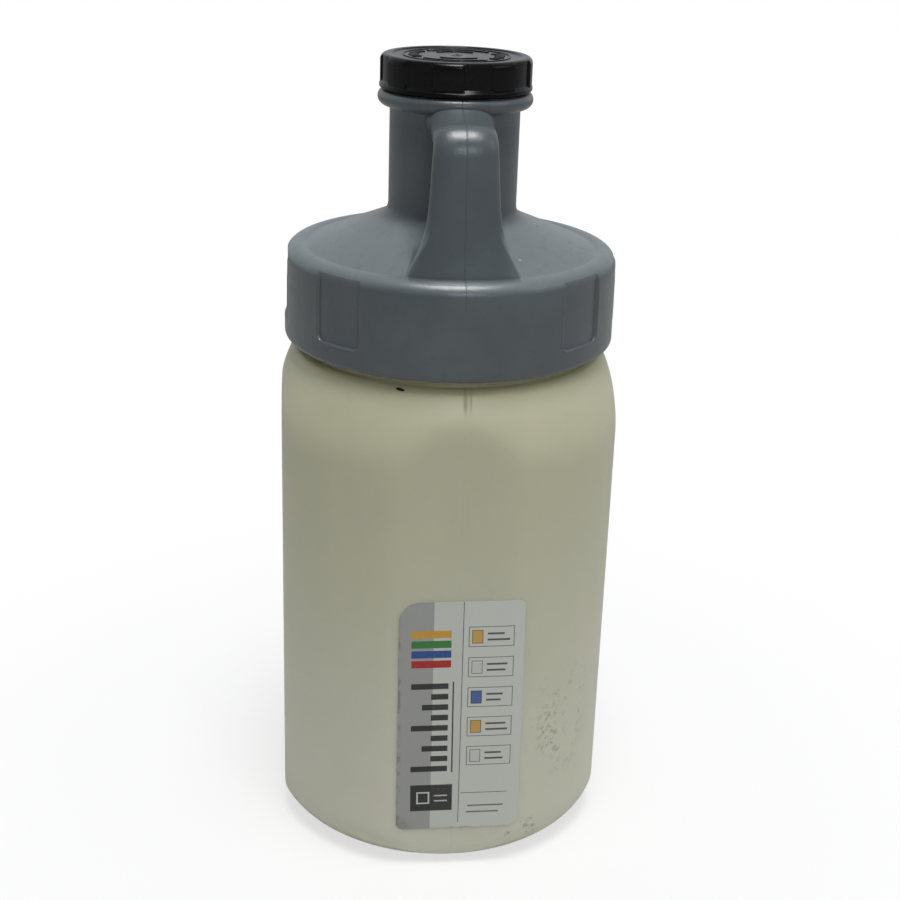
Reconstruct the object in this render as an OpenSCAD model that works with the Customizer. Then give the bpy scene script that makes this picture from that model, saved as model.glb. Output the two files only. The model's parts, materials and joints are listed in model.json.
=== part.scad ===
// Oil storage jug: a round wide-mouth drum with four upright flats, a screw-on lid
// that narrows to a pouring spout with a carrying handle, and a lobed screw cap.
// Millimetres. The origin is the centre of the base, +Z is up and the handle faces -Y.

/* [Drum body] */
// Radius of the round part of the drum at the base
drum_base_r = 75.7; // [73:0.1:84]
// Radius of the round part of the drum where the shoulder starts
drum_top_r = 74.9; // [73:0.1:80]
// Height at which the shoulder starts to curve in
shoulder_z = 188; // [150:1:200]
// Radius of the shoulder's curve, in profile
shoulder_r = 115; // [90:1:140]
// Height of the shoulder's curve
shoulder_h = 26; // [22:0.5:30]
// Lean at which the shoulder's curve leaves the side
shoulder_lean = 10.8; // [6:0.1:14]
// Radius that rounds the top of the shoulder
shoulder_edge_r = 4; // [3:0.5:8]
// Wall thickness of the drum
drum_wall = 2; // [1.2:0.1:3]
// Thickness of the base
floor_t = 2.4; // [1.6:0.1:4]
// Radius that rounds the base into the side
base_edge_r = 17; // [6:0.5:20]
// Radius of the raised centre of the base
push_up_r = 49; // [40:1:54]
// Height of the raised centre of the base
push_up_h = 3.5; // [1:0.5:8]

/* [Drum flats] */
// Distance from the axis to each of the four flats
flat_r = 70.9; // [70.5:0.1:73]

/* [Drum neck] */
// Wall thickness of the neck
neck_wall = 2.3; // [1.6:0.1:3]
// Height of the neck above the shoulder
neck_h = 37.3; // [34:0.1:44]

/* [Thread room] */
// Radial room for the threads between the neck and the lid's skirt
lid_thread_room = 3.7; // [3:0.1:4]
// Radial room for the threads between the mouthpiece and the cap
cap_thread_room = 2.3; // [1.6:0.1:2.4]

/* [Lid] */
// Outer radius of the lid's skirt at the rounded rim
skirt_top_r = 69; // [65:0.1:70.5]
// Taper of the skirt, the amount by which its lower edge is wider in radius
skirt_taper = 0.4; // [0:0.1:1.5]
// Wall thickness of the skirt at the rounded rim
skirt_wall = 3.2; // [2.6:0.1:4]
// Gap between the drum's shoulder and the lower edge of the skirt
skirt_lift = 3.6; // [1:0.1:6]
// Radius that rounds the lower edge of the skirt
skirt_edge_r = 2.6; // [1:0.1:3]
// Radius of the rolled rim round the top of the skirt
rim_r = 6; // [5:0.5:9]
// Wall thickness of the lid's roof and skirt
lid_wall = 3; // [2:0.1:3.4]
// Height of the rolled rim's crest above the ceiling under it
rim_h = 3.2; // [3:0.1:6]
// Distance of the crease between rim and cone inside the skirt's outer radius
crease_inset = 9; // [8:0.5:13]
// Depth of the crease below the crest of the rolled rim
crease_depth = 0.4; // [0.3:0.1:2.5]
// Rise of the cone from the crease to the spout
cone_h = 13.6; // [8:0.1:24]

/* [Lid recesses] */
// Number of places round the skirt, of which the front and the back are left plain
recess_places = 8; // [4:2:12]
// Width of one recess as an angle at the axis
recess_angle = 19.2; // [10:0.1:24]
// Depth of a recess
recess_depth = 1.1; // [0.5:0.1:1.6]
// Height of the lower end of a recess above the edge of the skirt
recess_lift = 10; // [6:0.5:16]

/* [Spout] */
// Outer radius of the spout
spout_r = 26.5; // [24:0.1:30]
// Wall thickness of the spout
spout_wall = 2.8; // [2:0.1:4]
// Height of the collar's middle above the foot of the spout
collar_rise = 46.6; // [38:0.1:60]
// Radius of the collar's rounded edge, half its height
collar_edge_r = 3.3; // [2:0.1:4]
// Outer radius of the collar
collar_r = 31.5; // [31:0.1:34]
// Height of the threaded mouthpiece above the collar's middle
mouthpiece_h = 13.4; // [12:0.1:16]
// Wall thickness of the threaded mouthpiece
mouthpiece_wall = 2; // [1.4:0.1:2.4]

/* [Handle] */
// Radius from the axis to the outer face of the handle at its bend
handle_reach = 55; // [52:0.5:56.5]
// Thickness of the handle
handle_t = 11; // [9:0.5:12]
// Width of the handle at its top end
handle_top_w = 23.8; // [18:0.1:26]
// Width of the handle half way down
handle_mid_w = 27; // [22:0.1:32]
// Width of the handle's foot, where it spreads on the cone
handle_foot_w = 43.3; // [34:0.1:50]
// Height over which the foot spreads
handle_flare_h = 27; // [16:1:32]
// Radius of the bend along the handle's middle
handle_bend_r = 6.5; // [6.2:0.1:10]
// Slope of the handle's top run, falling outwards
handle_top_slope = 8; // [0:0.5:12]
// Lean of the handle's leg, outwards on the way down
handle_lean = 6.3; // [3:0.1:8]
// Depth of the bend's centre below the collar's middle
handle_drop = 16.5; // [14:0.1:20]
// Wall thickness round the hollow leg of the handle
handle_wall = 3; // [2.4:0.1:3.6]

/* [Cap] */
// Outer radius of the cap's lobes
cap_r = 30.6; // [30.5:0.1:32]
// Outer radius of the cap's bottom band
cap_band_r = 30.9; // [30.6:0.1:33]
// Height of the cap's bottom band
cap_band_h = 1.8; // [1:0.1:3]
// Thickness of the cap's top
cap_top_t = 2; // [1.5:0.1:3]
// Number of lobes round the cap
cap_lobes = 8; // [6:1:16]
// Depth of the grips between the lobes
cap_grip_depth = 0.9; // [0.4:0.1:1.2]
// Radius that rounds the cap's top edge
cap_edge_r = 2.4; // [0.6:0.1:2.4]
// Radius of the shallow round panel in the cap's top
cap_panel_r = 26; // [20:0.1:26.4]
// Depth of that panel
cap_panel_depth = 0.5; // [0.2:0.1:0.8]

/* [Seals] */
// Thickness of the ring seal in the lid
seal_t = 2.4; // [1.6:0.1:3]
// Width of the ring seal
seal_w = 4; // [3:0.1:4.6]
// Thickness of the liner in the cap
liner_t = 1.2; // [0.8:0.1:2]
// Radial gap between the liner and the cap's wall
liner_gap = 0.8; // [0.4:0.1:1.4]

/* [Label] */
// Width of the label
label_w = 52; // [40:1:58]
// Height of the label
label_h = 108.8; // [60:0.2:140]
// Thickness of the label
label_t = 0.25; // [0.1:0.05:0.5]
// Distance of the label's middle to the right of the seam
label_x = 3.6; // [-4:0.1:4]
// Height of the label's middle
label_z = 73; // [72:0.1:90]
// Tilt of the label, its top leaning left
label_tilt = 0.8; // [-2:0.1:2]
// Radius of the label's top left corner
label_big_corner_r = 9; // [2:0.5:16]
// Radius of the label's other corners
label_corner_r = 3; // [1:0.5:8]

/* [Clearances] */
// Gap on each face between two pieces that seat on each other
seat_gap = 0.1; // [0.05:0.05:0.2]
// Gap between the cap's lower edge and the collar
cap_gap = 0.3; // [0.2:0.1:1]

/* [Hidden] */

// Segments in a full circle of the drawn mesh
$fn = 96;
// Overshoot that makes a cut run clean through
over = 1;
// Points round a section of the handle, and steps along its bend and its leg
section_points = 24;
bend_steps = 7;
leg_steps = 11;
// Exponents of the handle's flattened oval and of its spreading foot
section_power = 2.8;
flare_power = 1.4;
// Share by which the handle thickens at its foot
foot_thicken = 0.3;
// Share by which the hollow in the handle stops short of the bend
core_stop = 0.12;

// Drum, from the base up
shoulder_cx = drum_top_r - shoulder_r * cos(shoulder_lean);
shoulder_cz = shoulder_z - shoulder_r * sin(shoulder_lean);
shoulder_turn = asin((shoulder_z + shoulder_h - shoulder_cz) / shoulder_r);
edge_cx = shoulder_cx + (shoulder_r - shoulder_edge_r) * cos(shoulder_turn);
edge_cz = shoulder_cz + (shoulder_r - shoulder_edge_r) * sin(shoulder_turn);
neck_foot_z = edge_cz + shoulder_edge_r;
rim_z = neck_foot_z + neck_h;

// Radii where the drum's neck and the lid's skirt meet, from the skirt inwards
skirt_base_r = skirt_top_r + skirt_taper;
skirt_bore_r = skirt_top_r - skirt_wall;
neck_r = skirt_bore_r - lid_thread_room;
mouth_r = neck_r - neck_wall;
crease_r = skirt_top_r - crease_inset;

// Lid, from the seal up
seal_z = rim_z + seat_gap;
ceiling_z = seal_z + seal_t + seat_gap;
skirt_z = neck_foot_z + skirt_lift;
rim_top_z = ceiling_z + rim_h;
rim_cx = skirt_top_r - rim_r;
rim_cz = rim_top_z - rim_r;
crease_z = rim_top_z - crease_depth;
spout_foot_z = crease_z + cone_h;
cone_slope = cone_h / (crease_r - spout_r);
roof_t = lid_wall * sqrt(1 + pow(cone_slope, 2));
ceiling_r = crease_r - (ceiling_z + roof_t - crease_z) / cone_slope;

// Spout and cap, from the collar up
collar_z = spout_foot_z + collar_rise;
spout_rim_z = collar_z + mouthpiece_h;
spout_bore_r = spout_r - spout_wall;
mouthpiece_r = spout_bore_r + mouthpiece_wall;
cap_bore_r = mouthpiece_r + cap_thread_room;
cap_low_z = collar_z + collar_edge_r + cap_gap;
liner_z = spout_rim_z + seat_gap;
cap_ceiling_z = liner_z + liner_t + seat_gap;
cap_top_z = cap_ceiling_z + cap_top_t;

// Handle, in the plane of the seam
bend_r0 = handle_reach - handle_bend_r - handle_t / 2;
bend_z0 = collar_z - handle_drop;
leg_low_z = ceiling_z - over;
leg_len = (bend_z0 - leg_low_z) / cos(handle_lean);

// Section of the drum between its axis and a line that lies inset inside the outer surface
module drum_section(inset, top_z) {
    corner_r = base_edge_r - inset;
    low_z = inset > 0 ? floor_t : 0;
    turn_z = shoulder_cz + (shoulder_r - inset) * sin(shoulder_turn);
    difference() {
        union() {
            // Base with its rounded corner
            translate([0, low_z]) square([drum_base_r - inset - corner_r, base_edge_r]);
            translate([drum_base_r - inset - corner_r, low_z + corner_r]) circle(r = corner_r);
            // Tapered side
            polygon([
                [0, low_z + corner_r],
                [drum_base_r - inset, low_z + corner_r],
                [drum_top_r - inset, shoulder_z],
                [0, shoulder_z]
            ]);
            // Shoulder, rounded into the neck
            intersection() {
                translate([shoulder_cx, shoulder_cz]) circle(r = shoulder_r - inset);
                translate([0, shoulder_z - over])
                    square([drum_top_r - inset, turn_z - shoulder_z + over]);
            }
            translate([edge_cx, edge_cz]) circle(r = shoulder_edge_r - inset);
            translate([0, shoulder_z]) square([edge_cx, neck_foot_z - inset - shoulder_z]);
            // Neck
            translate([0, shoulder_z])
                square([inset > 0 ? mouth_r : neck_r, top_z - shoulder_z]);
        }
        // Raised centre of the base
        polygon([
            [0, low_z + push_up_h],
            [push_up_r - push_up_h, low_z + push_up_h],
            [push_up_r + over, low_z - over],
            [0, low_z - over]
        ]);
        // The section ends at the axis
        translate([-3 * shoulder_r, -over]) square([3 * shoulder_r, top_z + 2 * over]);
    }
}

// Square block whose four sides are the flats, grown by a distance
module flat_block(grow) {
    half = flat_r + grow;
    translate([-half, -half, -over]) cube([2 * half, 2 * half, rim_z + 3 * over]);
}

// Solid drum form at an inset from the outer surface
module drum_form(inset, top_z) {
    intersection() {
        rotate_extrude() drum_section(inset, top_z);
        flat_block(-inset);
    }
}

// Side of the drum between its base corner and its shoulder, grown by a distance
module side_form(grow) {
    intersection() {
        translate([0, 0, base_edge_r])
            cylinder(
                h = shoulder_z - base_edge_r,
                r1 = drum_base_r + grow,
                r2 = drum_top_r + grow
            );
        flat_block(grow);
    }
}

// Closed skin through a list of rings with the same number of points
module loft(rings) {
    n = len(rings[0]);
    last = len(rings) - 1;
    polyhedron(
        points = [for (ring = rings) for (p = ring) p],
        faces = concat(
            [[for (i = [0 : n - 1]) i]],
            [for (k = [0 : last - 1]) for (i = [0 : n - 1])
                [k * n + i, (k + 1) * n + i, (k + 1) * n + (i + 1) % n]],
            [for (k = [0 : last - 1]) for (i = [0 : n - 1])
                [k * n + i, (k + 1) * n + (i + 1) % n, k * n + (i + 1) % n]],
            [[for (i = [n - 1 : -1 : 0]) last * n + i]]
        ),
        convexity = 10
    );
}

// Flattened oval section of the handle, square to its path in the plane of the seam
function oval_section(r, z, heading, w, t) = [for (i = [0 : section_points - 1])
    let (
        a = 360 * i / section_points,
        u = w / 2 * sign(cos(a)) * pow(abs(cos(a)), 2 / section_power),
        v = t / 2 * sign(sin(a)) * pow(abs(sin(a)), 2 / section_power)
    )
    [u, -(r - v * sin(heading)), z + v * cos(heading)]];

// Width of the handle at a height above its foot
function handle_w_at(z) =
    let (
        up = z - crease_z,
        share = max(0, 1 - up / handle_flare_h),
        top_share = max(0, min(1, (up - handle_flare_h) / (bend_z0 - crease_z - handle_flare_h)))
    )
    handle_mid_w + (handle_foot_w - handle_mid_w) * pow(share, flare_power)
        + (handle_top_w - handle_mid_w) * pow(top_share, 2);

// Thickness of the handle at a height above its foot
function handle_t_at(z) =
    handle_t * (1 + foot_thicken * pow(max(0, 1 - (z - crease_z) / handle_flare_h), 2));

// Sections down the handle's leg, thinned by a wall
function leg_sections(wall, from, steps) = [for (i = [0 : steps])
    let (
        down = leg_len * (from + (1 - from) * i / steps),
        heading = handle_lean - 90,
        r = bend_r0 + handle_bend_r * cos(handle_lean) + down * sin(handle_lean),
        z = bend_z0 + handle_bend_r * sin(handle_lean) - down * cos(handle_lean)
    )
    oval_section(r, z, heading, handle_w_at(z) - 2 * wall, handle_t_at(z) - 2 * wall)];

// Sections of the handle's top run and bend
function top_sections() =
    let (
        start_len = (bend_r0 - (spout_r - spout_wall / 2)) / cos(handle_top_slope),
        turn = 90 - handle_top_slope - handle_lean,
        run_r = bend_r0 + handle_bend_r * sin(handle_top_slope),
        run_z = bend_z0 + handle_bend_r * cos(handle_top_slope)
    )
    concat(
        [for (k = [1, 0.5]) oval_section(
            run_r - k * start_len * cos(handle_top_slope),
            run_z + k * start_len * sin(handle_top_slope),
            -handle_top_slope, handle_top_w, handle_t
        )],
        [for (i = [0 : bend_steps - 1])
            let (heading = -handle_top_slope - turn * i / bend_steps)
            oval_section(
                bend_r0 - handle_bend_r * sin(heading),
                bend_z0 + handle_bend_r * cos(heading),
                heading, handle_top_w, handle_t
            )]
    );

// Outer form of the handle
module handle_form() {
    loft(concat(top_sections(), leg_sections(0, 0, leg_steps)));
}

// Hollow of the handle's leg, open to the space under the cone
module handle_core() {
    loft(leg_sections(handle_wall, core_stop, leg_steps));
}

// Outer section of the lid, from the skirt to the mouthpiece
module lid_section() {
    difference() {
        union() {
            // Skirt with its rounded lower edge
            polygon([
                [0, skirt_z],
                [skirt_base_r - skirt_edge_r, skirt_z],
                [skirt_base_r, skirt_z + skirt_edge_r],
                [skirt_top_r, rim_cz],
                [0, rim_cz]
            ]);
            translate([skirt_base_r - skirt_edge_r, skirt_z + skirt_edge_r])
                circle(r = skirt_edge_r);
            // Rolled rim
            translate([rim_cx, rim_cz]) circle(r = rim_r);
            // Cone and spout
            polygon([
                [0, rim_cz],
                [crease_r, rim_cz],
                [crease_r, crease_z],
                [spout_r, spout_foot_z],
                [spout_r, collar_z],
                [mouthpiece_r, collar_z],
                [mouthpiece_r, spout_rim_z],
                [0, spout_rim_z]
            ]);
            // Collar
            translate([collar_r - collar_edge_r, collar_z]) circle(r = collar_edge_r);
            translate([0, collar_z - collar_edge_r])
                square([collar_r - collar_edge_r, 2 * collar_edge_r]);
        }
        translate([-rim_r, skirt_z - over]) square([rim_r, spout_rim_z - skirt_z + 2 * over]);
    }
}

// Space inside the lid: skirt, ceiling over the seal, cone and spout bore
module lid_space_section() {
    corner_r = rim_r - lid_wall;
    bore_foot_z = ceiling_z + (ceiling_r - spout_bore_r) * cone_slope;
    translate([0, skirt_z - over])
        square([skirt_bore_r, ceiling_z - corner_r - skirt_z + over]);
    translate([0, skirt_z]) square([skirt_bore_r - corner_r, ceiling_z - skirt_z]);
    intersection() {
        translate([skirt_bore_r - corner_r, ceiling_z - corner_r]) circle(r = corner_r);
        translate([0, skirt_z]) square([skirt_bore_r, ceiling_z - skirt_z]);
    }
    polygon([
        [0, skirt_z],
        [ceiling_r, skirt_z],
        [ceiling_r, ceiling_z],
        [spout_bore_r, bore_foot_z],
        [spout_bore_r, spout_rim_z + over],
        [0, spout_rim_z + over]
    ]);
}

// Material that one recess takes away, following the taper of the skirt
module recess_cut() {
    low_z = skirt_z + recess_lift;
    rotate([0, 0, -90 - recess_angle / 2])
        rotate_extrude(angle = recess_angle)
            polygon([
                [skirt_base_r - recess_depth, low_z],
                [skirt_base_r + over, low_z],
                [skirt_base_r + over, rim_top_z + over],
                [skirt_top_r - recess_depth, rim_top_z + over]
            ]);
}

// The recesses round the skirt, with none at the front and the back
module recess_cuts() {
    for (i = [1 : recess_places - 1])
        if (i != recess_places / 2) rotate([0, 0, 360 * i / recess_places]) recess_cut();
}

// Outer section of the cap
module cap_section() {
    difference() {
        union() {
            translate([0, cap_low_z]) square([cap_band_r, cap_band_h]);
            translate([0, cap_low_z]) square([cap_r, cap_top_z - cap_edge_r - cap_low_z]);
            translate([0, cap_low_z]) square([cap_r - cap_edge_r, cap_top_z - cap_low_z]);
            translate([cap_r - cap_edge_r, cap_top_z - cap_edge_r]) circle(r = cap_edge_r);
        }
        // Space for the mouthpiece and the liner
        translate([-over, cap_low_z - over])
            square([cap_bore_r + over, cap_ceiling_z - cap_low_z + over]);
        // Shallow panel in the top
        translate([-over, cap_top_z - cap_panel_depth])
            square([cap_panel_r + over, cap_panel_depth + over]);
    }
}

// Grips between the lobes of the cap
module cap_grips() {
    step = 360 / cap_lobes;
    for (i = [0 : cap_lobes - 1])
        rotate([0, 0, step * i])
            rotate_extrude(angle = step / 2)
                translate([cap_r - cap_grip_depth, cap_low_z + cap_band_h])
                    square([cap_grip_depth + over, cap_top_z - cap_low_z]);
}

// Outline of the label, seen from the front
module label_outline() {
    big = label_big_corner_r;
    small = label_corner_r;
    right = label_w - small;
    top = label_h - small;
    translate([-label_w / 2, -label_h / 2]) {
        translate([small, 0]) square([right - small, label_h - big]);
        translate([0, small]) square([label_w, label_h - big - small]);
        translate([big, 0]) square([right - big, label_h]);
        translate([big, small]) square([label_w - big, top - small]);
        translate([small, small]) circle(r = small);
        translate([right, small]) circle(r = small);
        translate([right, top]) circle(r = small);
        translate([big, label_h - big]) circle(r = big);
    }
}

module drum() {
    color([0.83, 0.83, 0.72])
        difference() {
            drum_form(0, rim_z);
            drum_form(drum_wall, rim_z + over);
        }
}

module label() {
    color([0.68, 0.68, 0.69])
        intersection() {
            difference() {
                side_form(seat_gap / 2 + label_t);
                side_form(seat_gap / 2);
            }
            translate([label_x, 0, label_z])
                rotate([90, 0, 0])
                    linear_extrude(height = 2 * drum_base_r)
                        rotate([0, 0, label_tilt]) label_outline();
        }
}

module lid() {
    color([0.42, 0.46, 0.48])
        difference() {
            union() {
                rotate_extrude() lid_section();
                handle_form();
            }
            rotate_extrude() lid_space_section();
            handle_core();
            recess_cuts();
        }
}

module lid_seal() {
    color([0.1, 0.1, 0.1])
        rotate_extrude()
            translate([(mouth_r + neck_r) / 2 - seal_w / 2, seal_z]) square([seal_w, seal_t]);
}

module cap() {
    color([0.06, 0.06, 0.06])
        difference() {
            rotate_extrude() cap_section();
            cap_grips();
        }
}

module cap_liner() {
    color([0.9, 0.9, 0.88])
        translate([0, 0, liner_z]) cylinder(h = liner_t, r = cap_bore_r - liner_gap);
}

drum();
label();
lid();
lid_seal();
cap();
cap_liner();
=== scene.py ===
"""Looks of the oil storage jug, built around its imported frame.

The jug stands on the origin with +Z up and its handle towards -Y. Sizes in the classes are
millimetres, as in the part's source, and become metres where a mesh is made.
"""

from __future__ import annotations

import json
import logging
import math
from dataclasses import dataclass
from enum import Enum
from typing import Callable, Iterable, Optional, Sequence, Union

import bmesh
import bpy
from mathutils import Matrix, Vector

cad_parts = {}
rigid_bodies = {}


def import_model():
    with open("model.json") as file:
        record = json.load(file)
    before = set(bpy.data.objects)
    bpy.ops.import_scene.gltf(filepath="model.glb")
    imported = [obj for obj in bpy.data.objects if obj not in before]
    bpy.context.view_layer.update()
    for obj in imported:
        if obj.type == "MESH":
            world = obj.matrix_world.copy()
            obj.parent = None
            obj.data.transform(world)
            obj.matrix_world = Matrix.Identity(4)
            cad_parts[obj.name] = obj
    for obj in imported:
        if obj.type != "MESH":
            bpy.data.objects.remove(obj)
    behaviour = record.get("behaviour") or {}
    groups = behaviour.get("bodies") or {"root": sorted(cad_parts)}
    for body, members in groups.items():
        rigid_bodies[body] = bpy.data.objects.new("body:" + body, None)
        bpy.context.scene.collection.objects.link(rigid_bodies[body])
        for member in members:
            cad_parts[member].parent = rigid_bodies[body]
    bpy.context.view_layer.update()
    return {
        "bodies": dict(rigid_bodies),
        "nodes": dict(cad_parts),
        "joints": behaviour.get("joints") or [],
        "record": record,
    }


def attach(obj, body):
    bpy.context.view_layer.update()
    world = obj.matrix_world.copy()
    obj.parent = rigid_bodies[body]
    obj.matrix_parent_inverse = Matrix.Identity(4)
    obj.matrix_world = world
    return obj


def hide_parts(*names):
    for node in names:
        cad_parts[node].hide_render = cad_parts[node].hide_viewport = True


MM = 0.001
# Rise of one turn, then height, width at the root and width at the crest of the ridges
NECK_LEAD, NECK_RIDGE = 8.0, (2.3, 2.8, 1.2)
SPOUT_LEAD, SPOUT_RIDGE = 4.0, (1.4, 1.5, 0.6)
LOG = logging.getLogger("oil_jug")
Pair = tuple[float, float]
Triple = tuple[float, float, float]


class Body(Enum):
    """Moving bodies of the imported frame."""

    DRUM = "drum"
    SEAL_RING = "seal_ring"
    LID = "lid"
    LINER_DISC = "liner_disc"
    CAP = "cap"


class Slot(Enum):
    """Material slots of the record."""

    DRUM = "drum"
    LABEL = "label"
    LID = "lid"
    SEAL = "seal"
    CAP = "cap"
    LINER = "liner"


class Side(Enum):
    """Side of a wall that a thread stands on."""

    OUTSIDE = 1
    INSIDE = -1


def shade(red: int, green: int, blue: int) -> Triple:
    """Turns a display colour into the linear colour that a shader takes.

    Args:
        red: Red from 0 to 255.
        green: Green from 0 to 255.
        blue: Blue from 0 to 255.

    Returns:
        The linear colour.
    """

    def linear(part: int) -> float:
        """Linear value of one part of a display colour."""
        share = part / 255
        return share / 12.92 if share <= 0.04045 else ((share + 0.055) / 1.055) ** 2.4

    return linear(red), linear(green), linear(blue)


def ease(share: float) -> float:
    """Smooth step from 0 to 1 over a share that is clamped to 0 and 1."""
    share = min(1.0, max(0.0, share))
    return share * share * (3 - 2 * share)


def soft_min(first: float, second: float, blend: float) -> float:
    """Lesser of two lengths, rounded over where they meet.

    Args:
        first: First length.
        second: Second length.
        blend: Length over which the corner is rounded.

    Returns:
        The rounded lesser length.
    """
    low, high = min(first, second), max(first, second)
    return low - blend * math.log1p(math.exp(-(high - low) / blend))


def arc(centre: Pair, radius: float, start: float, stop: float, steps: int) -> list[Pair]:
    """Points of an arc in the plane of a section.

    Args:
        centre: Centre as distance from the axis and height.
        radius: Radius of the arc.
        start: First angle in degrees.
        stop: Last angle in degrees.
        steps: Number of spans.

    Returns:
        The points from the first to the last angle.
    """
    angles = [math.radians(start + (stop - start) * i / steps) for i in range(steps + 1)]
    return [(centre[0] + radius * math.cos(a), centre[1] + radius * math.sin(a)) for a in angles]


def run(start: Pair, stop: Pair, steps: int) -> list[Pair]:
    """Points along a straight line, both ends left out.

    Args:
        start: First end.
        stop: Last end.
        steps: Number of spans.

    Returns:
        The points between the ends.
    """
    return [
        (start[0] + (stop[0] - start[0]) * i / steps, start[1] + (stop[1] - start[1]) * i / steps)
        for i in range(1, steps)
    ]


def onward(line: list[Pair], stop: Pair, steps: int) -> None:
    """Carries a line straight on to a point, in a number of spans."""
    line += run(line[-1], stop, steps) + [stop]


def polar(place: Vector) -> Pair:
    """Distance from the axis and height of a point, in millimetres."""
    return math.hypot(place.x, place.y) / MM, place.z / MM


def bearing(place: Vector) -> float:
    """Angle of a point round the axis in radians, from -Y towards +X."""
    return math.atan2(place.x, -place.y)


def pulled(place: Vector, scale: float) -> Vector:
    """Point at the same height with its distance from the axis scaled."""
    return Vector((place.x * scale, place.y * scale, place.z))


def between(stops: Sequence[Pair], place: float) -> float:
    """Value at a place on the broken line through stops.

    Args:
        stops: Pairs of place and value, places rising.
        place: Place that is asked for.

    Returns:
        The value there.
    """
    if place <= stops[0][0]:
        return stops[0][1]
    for (a, va), (b, vb) in zip(stops, stops[1:]):
        if place <= b:
            return va + (vb - va) * (place - a) / (b - a)
    return stops[-1][1]


class Modeller:
    """Mesh work with Blender's own operators."""

    @staticmethod
    def deselect() -> None:
        """Leaves no object selected."""
        for thing in bpy.context.view_layer.objects:
            thing.select_set(False)

    @staticmethod
    def activate(piece: bpy.types.Object) -> None:
        """Makes a piece the only selected and active object."""
        Modeller.deselect()
        piece.select_set(True)
        bpy.context.view_layer.objects.active = piece

    @staticmethod
    def ring(name: str, count: int) -> bpy.types.Object:
        """Adds a ring of vertices with no face.

        Args:
            name: Name of the new piece.
            count: Number of vertices.

        Returns:
            The new object.
        """
        Modeller.deselect()
        bpy.ops.mesh.primitive_circle_add(vertices=count, radius=1.0)
        piece = bpy.context.object
        piece.name = piece.data.name = name
        return piece

    @staticmethod
    def edit(piece: bpy.types.Object) -> None:
        """Opens a piece in edit mode with everything selected."""
        Modeller.activate(piece)
        bpy.ops.object.mode_set(mode="EDIT")
        bpy.ops.mesh.select_mode(type="VERT")
        bpy.ops.mesh.select_all(action="SELECT")

    @staticmethod
    def done() -> None:
        """Leaves edit mode."""
        bpy.ops.object.mode_set(mode="OBJECT")

    @staticmethod
    def turned(name: str, section: Sequence[Pair], steps: int) -> bpy.types.Object:
        """Spins a closed section once round the axis.

        Args:
            name: Name of the new piece.
            section: Points of the section as distance from the axis and height.
            steps: Number of steps round the axis.

        Returns:
            The closed solid of revolution.
        """
        piece = Modeller.ring(name, len(section))
        for vertex, (r, z) in zip(piece.data.vertices, section):
            vertex.co = (0.0, -max(r, 0.0) * MM, z * MM)
        Modeller.edit(piece)
        bpy.ops.mesh.spin(steps=steps, angle=math.tau, center=(0, 0, 0), axis=(0, 0, 1))
        bpy.ops.mesh.select_all(action="SELECT")
        bpy.ops.mesh.remove_doubles(threshold=2e-6)
        bpy.ops.mesh.delete_loose()
        bpy.ops.mesh.select_all(action="SELECT")
        bpy.ops.mesh.normals_make_consistent(inside=False)
        Modeller.done()
        return piece

    @staticmethod
    def lofted(name: str, rings: Sequence[Sequence[Vector]]) -> bpy.types.Object:
        """Wraps a grid round a row of sections and closes both ends.

        Args:
            name: Name of the new piece.
            rings: Sections with the same number of points, in metres.

        Returns:
            The closed solid.
        """
        count, last = len(rings[0]), len(rings) - 1
        Modeller.deselect()
        bpy.ops.mesh.primitive_grid_add(x_subdivisions=count, y_subdivisions=last, size=1.0)
        piece = bpy.context.object
        piece.name = piece.data.name = name
        for vertex in piece.data.vertices:
            column = round((vertex.co.x + 0.5) * count) % count
            vertex.co = rings[round((vertex.co.y + 0.5) * last)][column]
        Modeller.edit(piece)
        bpy.ops.mesh.remove_doubles(threshold=1e-7)
        bpy.ops.mesh.select_all(action="SELECT")
        bpy.ops.mesh.fill_holes(sides=0)
        bpy.ops.mesh.select_all(action="SELECT")
        bpy.ops.mesh.normals_make_consistent(inside=False)
        Modeller.done()
        return piece

    @staticmethod
    def refined(piece: bpy.types.Object, near: Callable[[Vector], bool], cuts: int) -> None:
        """Subdivides the faces that a rule picks.

        Args:
            piece: Piece that gets finer faces.
            near: Rule on the middle of a face.
            cuts: Number of cuts along each edge.
        """
        Modeller.activate(piece)
        bpy.ops.object.mode_set(mode="EDIT")
        bpy.ops.mesh.select_mode(type="FACE")
        bpy.ops.mesh.select_all(action="DESELECT")
        shell = bmesh.from_edit_mesh(piece.data)
        for face in shell.faces:
            face.select_set(near(face.calc_center_median()))
        bmesh.update_edit_mesh(piece.data)
        bpy.ops.mesh.subdivide(number_cuts=cuts)
        bpy.ops.mesh.select_mode(type="VERT")
        Modeller.done()

    @staticmethod
    def joined(name: str, parts: Sequence[bpy.types.Object]) -> bpy.types.Object:
        """Joins closed solids into one piece, each kept whole."""
        Modeller.activate(parts[0])
        for part in parts:
            part.select_set(True)
        bpy.ops.object.join()
        piece = bpy.context.object
        piece.name = piece.data.name = name
        return piece

    @staticmethod
    def moved(piece: bpy.types.Object, rule: Callable[[Vector], Vector]) -> None:
        """Moves each vertex to where a rule puts it."""
        for vertex in piece.data.vertices:
            vertex.co = rule(vertex.co)
        piece.data.update()

    @staticmethod
    def smoothed(piece: bpy.types.Object, angle: float = 35.0) -> None:
        """Shades a piece smooth, with edges above an angle left sharp."""
        Modeller.activate(piece)
        bpy.ops.object.shade_smooth_by_angle(angle=math.radians(angle))

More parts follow.
